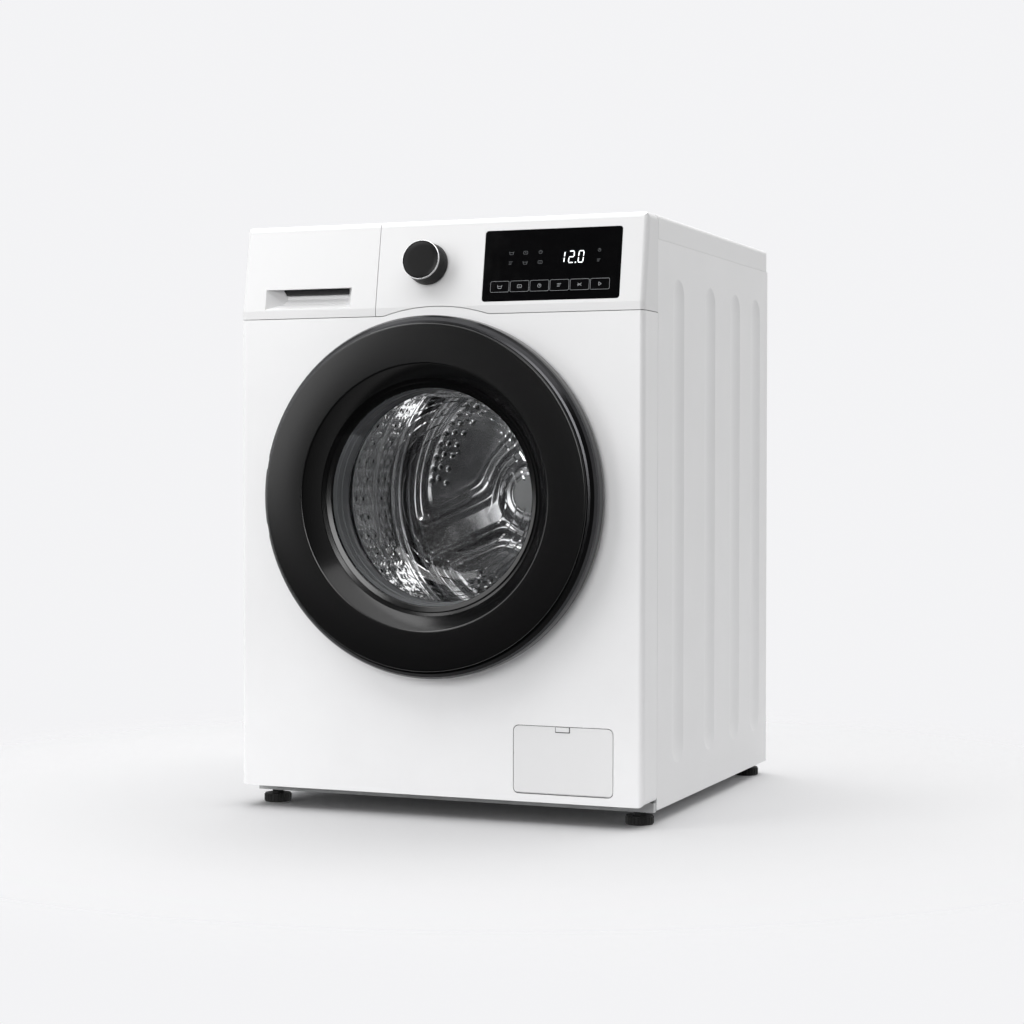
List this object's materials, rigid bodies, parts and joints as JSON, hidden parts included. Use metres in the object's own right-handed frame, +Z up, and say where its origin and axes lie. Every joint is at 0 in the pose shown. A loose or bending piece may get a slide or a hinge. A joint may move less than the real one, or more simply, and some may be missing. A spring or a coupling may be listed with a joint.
{
  "type": "front load washing machine",
  "caption": "Free-standing front load washing machine with a round window door, programme knob, display keys, detergent drawer and a suspended drum driven by a belt.",
  "frame": {"origin": "on the floor under the middle of the overall box, which reaches from the door face to the rear fittings", "axes": "+Z up, the front with the door faces -Y, +X to the right of someone facing the front"},
  "size_m": [0.6, 0.673, 0.82],
  "materials": {
    "white_enamel": "white baked enamel, satin",
    "panel_enamel": "light grey-white enamel on steel sheet, satin",
    "white_plastic": "white moulded plastic, fine satin",
    "worktop_laminate": "white laminate",
    "grey_plastic": "light grey moulded plastic",
    "tray_plastic": "translucent-looking pale moulded plastic",
    "black_satin": "black moulded plastic, soft satin",
    "black_gloss": "black glossy lens",
    "key_black": "black key caps",
    "dark_chrome": "dark metallised trim",
    "dark_grey": "dark grey moulded plastic",
    "door_glass": "clear pressed glass",
    "stainless": "polished stainless steel",
    "zinc_steel": "zinc-plated steel",
    "bright_ring": "bright metallised ring",
    "cast_alloy": "cast aluminium",
    "rubber_grey": "dark grey rubber",
    "rubber_black": "black rubber",
    "tub_plastic": "grey filled polypropylene",
    "concrete": "cast counterweight",
    "motor_dark": "dark painted motor housing",
    "board_green": "circuit board",
    "cap_blue": "blue moulded plastic"
  },
  "bodies": {
    "cabinet": {"side_panel_left": "panel_enamel", "side_panel_right": "panel_enamel", "rear_panel": "panel_enamel", "rear_cover": "panel_enamel", "worktop": "worktop_laminate", "front_panel": "white_enamel", "control_panel": "white_plastic", "top_crossbar": "zinc_steel", "base_tray": "grey_plastic", "display_window": "black_gloss", "control_boards": "board_green", "dispenser_housing": "grey_plastic", "inlet_valve": "white_plastic", "cord_gland": "black_satin", "drain_pump": "grey_plastic", "door_lock": "dark_grey", "hinge_bracket": "zinc_steel", "hinge_pin": "zinc_steel", "suspension_springs": "zinc_steel", "damper_cylinders": "dark_grey", "cabinet_screws": "zinc_steel", "door_gasket": "rubber_grey", "cabinet_hoses": "dark_grey", "tub_hoses": "rubber_black"},
    "tub": {"tub_front": "tub_plastic", "tub_rear": "tub_plastic", "counterweights": "concrete", "motor_housing": "motor_dark", "heater": "stainless", "drum_bearings": "zinc_steel", "damper_rods": "zinc_steel", "drive_belt": "rubber_black"},
    "drum": {"drum_shell": "stainless", "drum_back": "stainless", "drum_lifters": "stainless", "drum_spider": "cast_alloy", "drum_pulley": "cast_alloy"},
    "rotor": {"motor_rotor": "zinc_steel"},
    "door": {"door_outer_frame": "black_satin", "door_trim_ring": "dark_chrome", "door_inner_frame": "dark_grey", "door_glass": "door_glass", "door_hinge": "zinc_steel"},
    "latch": {"latch_hook": "zinc_steel"},
    "drawer": {"drawer_front": "white_plastic", "detergent_tray": "tray_plastic"},
    "knob": {"knob_body": "black_satin", "knob_ring": "bright_ring"},
    "flap": {"filter_flap": "white_plastic"},
    "filter": {"filter_cap": "cap_blue"},
    "key1": {"key_1": "key_black"},
    "key2": {"key_2": "key_black"},
    "key3": {"key_3": "key_black"},
    "key4": {"key_4": "key_black"},
    "key5": {"key_5": "key_black"},
    "key6": {"key_6": "key_black"},
    "leveller_front_left": {"foot_front_left": "rubber_black"},
    "leveller_front_right": {"foot_front_right": "rubber_black"},
    "leveller_rear_left": {"foot_rear_left": "rubber_black"},
    "leveller_rear_right": {"foot_rear_right": "rubber_black"}
  },
  "joints": [
    {"name": "door_swing", "type": "hinge", "parent": "cabinet", "child": "door", "pos_m": [-0.232, -0.3175, 0.44], "axis": [0, 0, -1], "range_deg": [0, 140]},
    {"name": "latch_pivot", "type": "hinge", "parent": "door", "child": "latch", "pos_m": [0.215, -0.3115, 0.44], "axis": [0, 0, 1], "range_deg": [0, 8], "stiffness_Nm_per_rad": 0.4, "springref_deg": -5.73},
    {"name": "drawer_slide", "type": "slide", "parent": "cabinet", "child": "drawer", "axis": [0, -1, 0], "range_m": [0, 0.2]},
    {"name": "knob_turn", "type": "hinge", "parent": "cabinet", "child": "knob", "pos_m": [-0.014, -0.28175, 0.75849], "axis": [0, -0.9864, 0.1644], "continuous": true},
    {"name": "key_1_press", "type": "slide", "parent": "cabinet", "child": "key1", "axis": [0, 0.9864, -0.1644], "range_m": [0, 0.001], "stiffness_N_per_m": 1500, "springref_m": -0.0004},
    {"name": "key_2_press", "type": "slide", "parent": "cabinet", "child": "key2", "axis": [0, 0.9864, -0.1644], "range_m": [0, 0.001], "stiffness_N_per_m": 1500, "springref_m": -0.0004},
    {"name": "key_3_press", "type": "slide", "parent": "cabinet", "child": "key3", "axis": [0, 0.9864, -0.1644], "range_m": [0, 0.001], "stiffness_N_per_m": 1500, "springref_m": -0.0004},
    {"name": "key_4_press", "type": "slide", "parent": "cabinet", "child": "key4", "axis": [0, 0.9864, -0.1644], "range_m": [0, 0.001], "stiffness_N_per_m": 1500, "springref_m": -0.0004},
    {"name": "key_5_press", "type": "slide", "parent": "cabinet", "child": "key5", "axis": [0, 0.9864, -0.1644], "range_m": [0, 0.001], "stiffness_N_per_m": 1500, "springref_m": -0.0004},
    {"name": "key_6_press", "type": "slide", "parent": "cabinet", "child": "key6", "axis": [0, 0.9864, -0.1644], "range_m": [0, 0.001], "stiffness_N_per_m": 1500, "springref_m": -0.0004},
    {"name": "flap_swing", "type": "hinge", "parent": "cabinet", "child": "flap", "pos_m": [0.187, -0.2883, 0.05], "axis": [1, 0, 0], "range_deg": [0, 95]},
    {"name": "filter_turn", "type": "hinge", "parent": "cabinet", "child": "filter", "pos_m": [0.187, -0.2615, 0.088], "axis": [0, -1, 0], "range_deg": [0, 360]},
    {"name": "tub_bounce", "type": "slide", "parent": "cabinet", "child": "tub", "axis": [0, 0, 1], "range_m": [-0.01, 0.01], "stiffness_N_per_m": 16000, "springref_m": 0.0386, "deforming": ["suspension_springs", "door_gasket", "tub_hoses"]},
    {"name": "drum_spin", "type": "hinge", "parent": "tub", "child": "drum", "pos_m": [0, -0.0415, 0.44], "axis": [0, 1, 0], "continuous": true},
    {"name": "motor_spin", "type": "hinge", "parent": "tub", "child": "rotor", "pos_m": [0, 0.1585, 0.114], "axis": [0, 1, 0], "continuous": true},
    {"name": "foot_front_left_turn", "type": "hinge", "parent": "cabinet", "child": "leveller_front_left", "pos_m": [-0.2745, -0.2295, 0], "axis": [0, 0, 1], "range_deg": [0, 720]},
    {"name": "foot_front_right_turn", "type": "hinge", "parent": "cabinet", "child": "leveller_front_right", "pos_m": [0.2745, -0.2295, 0], "axis": [0, 0, 1], "range_deg": [0, 720]},
    {"name": "foot_rear_left_turn", "type": "hinge", "parent": "cabinet", "child": "leveller_rear_left", "pos_m": [-0.2745, 0.2925, 0], "axis": [0, 0, 1], "range_deg": [0, 720]},
    {"name": "foot_rear_right_turn", "type": "hinge", "parent": "cabinet", "child": "leveller_rear_right", "pos_m": [0.2745, 0.2925, 0], "axis": [0, 0, 1], "range_deg": [0, 720]}
  ],
  "couplings": [
    {"joint": "motor_spin", "follows": "drum_spin", "ratio": 11.818}
  ]
}
